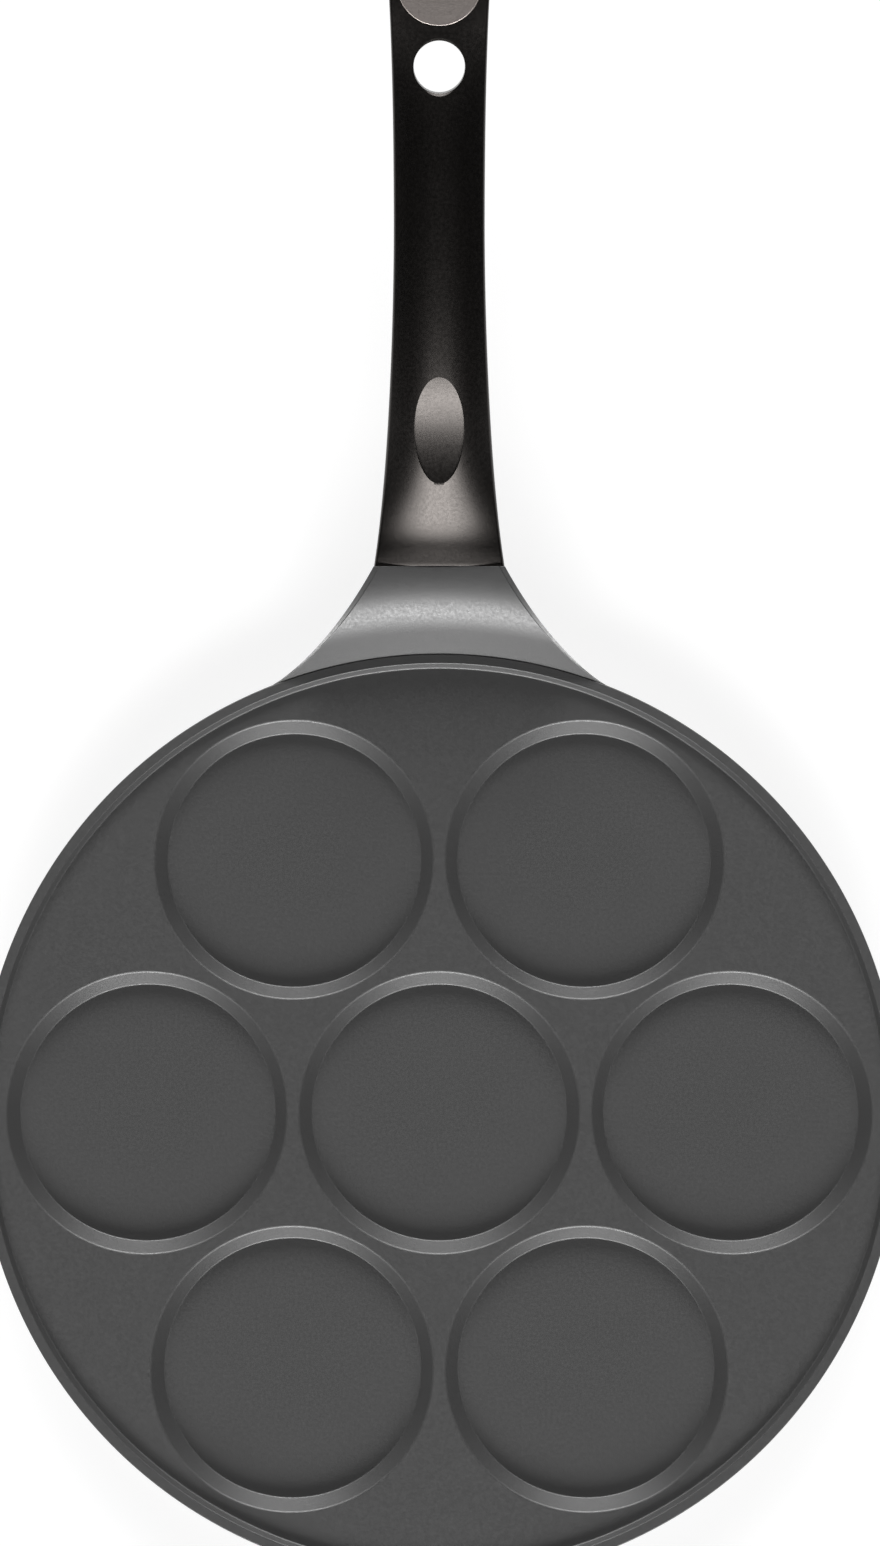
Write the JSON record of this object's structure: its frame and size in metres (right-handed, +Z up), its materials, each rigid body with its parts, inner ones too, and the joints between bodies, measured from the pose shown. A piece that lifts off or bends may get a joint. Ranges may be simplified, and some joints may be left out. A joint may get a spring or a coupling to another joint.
{
  "type": "pancake pan",
  "caption": "Round cast aluminium pancake pan with shallow round moulds in its plate, a flared neck and a curved black handle with a thumb recess, a hang hole and a bare metal disc.",
  "frame": {"origin": "centre of the pan's flat base, where it stands on the hob", "axes": "+Z up along the pan's axis, +Y along the handle away from the pan, +X to the right as seen from above with the handle pointing away"},
  "size_m": [0.26, 0.4431, 0.0966],
  "materials": {
    "coated_aluminium": "satin",
    "black_phenolic": "satin",
    "satin_metal": "satin",
    "plated_steel": "satin"
  },
  "bodies": {
    "root": {"pan_body": "coated_aluminium", "handle": "black_phenolic", "badge_disc": "satin_metal", "handle_screw": "plated_steel", "lock_washer": "plated_steel"}
  },
  "joints": []
}
